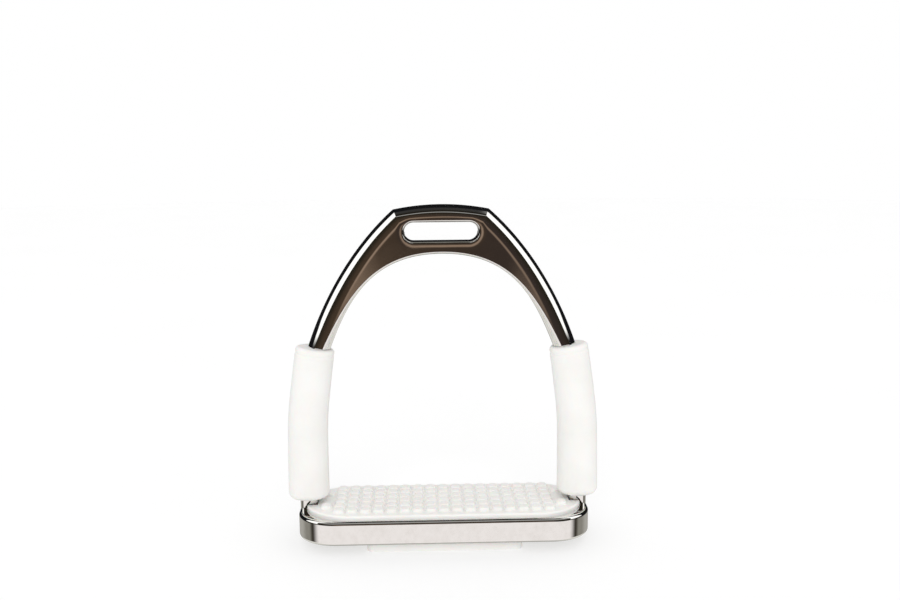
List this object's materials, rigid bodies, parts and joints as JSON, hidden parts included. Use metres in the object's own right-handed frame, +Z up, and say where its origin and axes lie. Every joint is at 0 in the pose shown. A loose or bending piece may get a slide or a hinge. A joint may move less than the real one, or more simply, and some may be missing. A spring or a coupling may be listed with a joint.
{
  "type": "stirrup iron",
  "caption": "Jointed stirrup iron: polished steel arch with a leather slot, rubber-sleeved hinges at both sides and a steel tread with a studded rubber pad.",
  "frame": {"origin": "middle of the tread pad's underside, on the ground that the iron stands on", "axes": "+X across the tread to the right as seen from the front, +Y from the front to the back of the tread, +Z up to the leather slot"},
  "size_m": [0.1466, 0.048, 0.1588],
  "materials": {
    "polished_steel": "mirror-polished stainless steel",
    "link_steel": "plain stainless steel, hidden in the sleeves",
    "bush_bronze": "sintered bronze bearing bush",
    "white_rubber": "matt white moulded rubber"
  },
  "bodies": {
    "tread": {"tread_frame": "polished_steel", "tread_pad": "white_rubber", "left_lower_bush": "bush_bronze", "right_lower_bush": "bush_bronze"},
    "left_link": {"left_outer_link_plate": "link_steel", "left_inner_link_plate": "link_steel", "left_upper_hinge_pin": "link_steel", "left_lower_hinge_pin": "link_steel", "left_upper_washer": "link_steel", "left_lower_washer": "link_steel", "left_sleeve": "white_rubber"},
    "right_link": {"right_outer_link_plate": "link_steel", "right_inner_link_plate": "link_steel", "right_upper_hinge_pin": "link_steel", "right_lower_hinge_pin": "link_steel", "right_upper_washer": "link_steel", "right_lower_washer": "link_steel", "right_sleeve": "white_rubber"},
    "bow": {"bow": "polished_steel", "left_upper_bush": "bush_bronze", "right_upper_bush": "bush_bronze"}
  },
  "joints": [
    {"name": "left_lower_hinge", "type": "hinge", "parent": "tread", "child": "left_link", "pos_m": [-0.0638, 0, 0.038], "axis": [1, 0, 0], "range_deg": [-20, 20], "stiffness_Nm_per_rad": 2, "deforming": ["left_sleeve"]},
    {"name": "left_upper_hinge", "type": "hinge", "parent": "left_link", "child": "bow", "pos_m": [-0.0638, 0, 0.065], "axis": [1, 0, 0], "range_deg": [-20, 20], "stiffness_Nm_per_rad": 2, "deforming": ["left_sleeve", "right_sleeve"]},
    {"name": "right_lower_hinge", "type": "hinge", "parent": "tread", "child": "right_link", "pos_m": [0.0638, 0, 0.038], "axis": [1, 0, 0], "range_deg": [-20, 20], "stiffness_Nm_per_rad": 2, "deforming": ["right_sleeve"]}
  ],
  "couplings": [
    {"joint": "right_lower_hinge", "follows": "left_lower_hinge", "ratio": 1}
  ]
}
